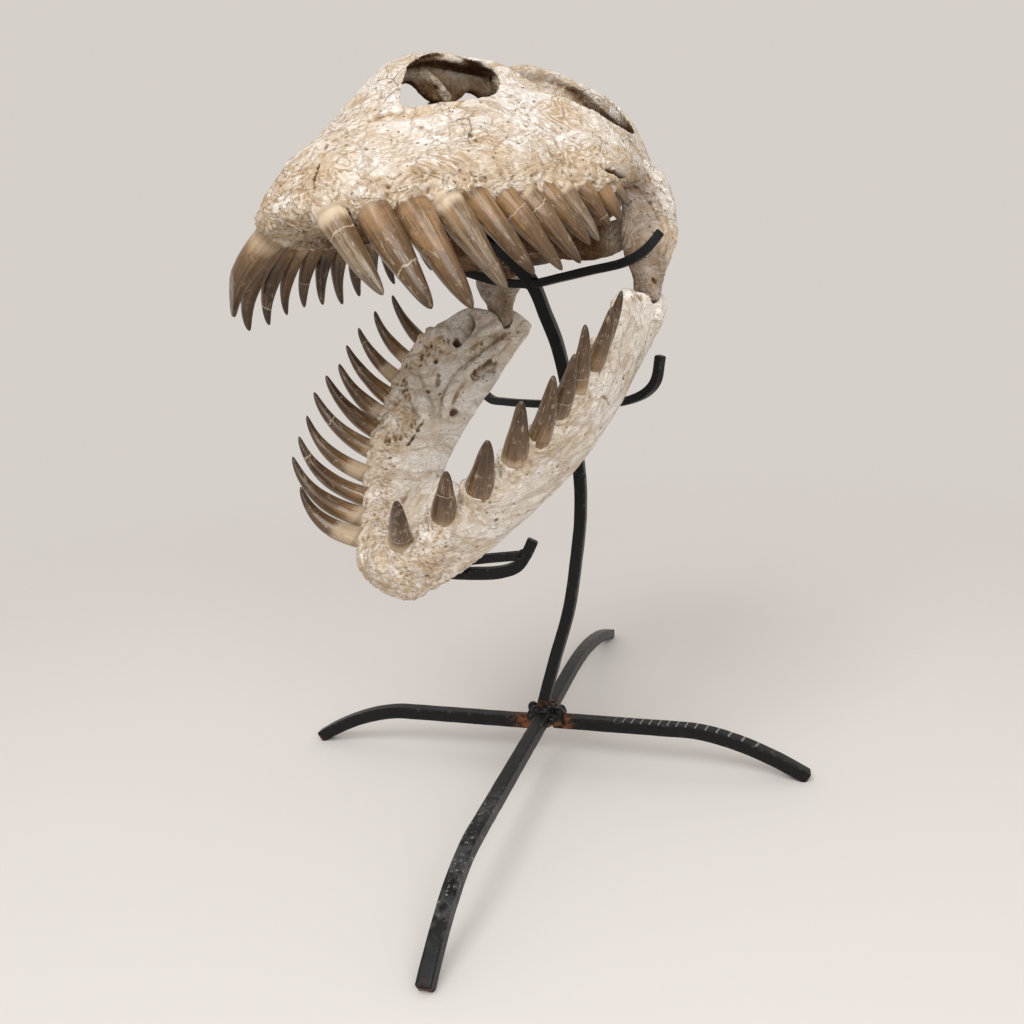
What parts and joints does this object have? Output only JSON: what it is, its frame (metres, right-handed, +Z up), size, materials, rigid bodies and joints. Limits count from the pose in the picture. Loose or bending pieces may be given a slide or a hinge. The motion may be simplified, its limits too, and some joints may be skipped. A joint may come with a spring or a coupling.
{
  "type": "fossil plesiosaur skull on stand",
  "caption": "Fossil plesiosaur skull with its lower jaw hanging wide open and long fanged teeth, held by a bent square-bar stand with crossed legs.",
  "frame": {"origin": "on the floor, at the middle of the object's footprint, close under the weld where the legs cross", "axes": "+Z up, -Y the way the snout points, +X the skull's own left; the skull itself is turned 8 degrees to its left on the stand"},
  "size_m": [0.4108, 0.4143, 0.5377],
  "materials": {
    "skull_bone": "matt cream fossil bone with ochre stains, fine ridges, pits and hairline cracks",
    "jaw_bone": "smoother and whiter matt fossil bone with tan stains",
    "inner_bone": "matt brown fossil bone of the palate and the insides",
    "tooth_enamel": "glossy brown fossil enamel, streaked lengthwise, with dark tips, pale roots and pale repaired cracks",
    "black_bar": "satin black paint on forged square bar, scuffed, with rust at the welds and cut ends",
    "weld": "glossy black paint over lumpy weld beads, rust at the edges"
  },
  "bodies": {
    "root": {"snout": "skull_bone", "skull_roof": "skull_bone", "left_upper_jaw": "skull_bone", "left_cheek": "skull_bone", "left_quadrate": "skull_bone", "right_upper_jaw": "skull_bone", "right_cheek": "skull_bone", "right_quadrate": "skull_bone", "palate": "inner_bone", "braincase": "inner_bone", "chin": "jaw_bone", "left_ramus": "jaw_bone", "left_jaw_hinge": "jaw_bone", "right_ramus": "jaw_bone", "right_jaw_hinge": "jaw_bone", "stand_leg_left": "black_bar", "stand_leg_right": "black_bar", "stand_leg_front": "black_bar", "stand_leg_back": "black_bar", "stand_hub": "weld", "stand_post": "black_bar", "stand_upper_arm_left": "black_bar", "stand_upper_arm_right": "black_bar", "stand_jaw_arm_left": "black_bar", "stand_jaw_arm_right": "black_bar", "stand_chin_cradle": "black_bar", "stand_spine": "black_bar", "stand_brace": "black_bar"}
  },
  "joints": []
}
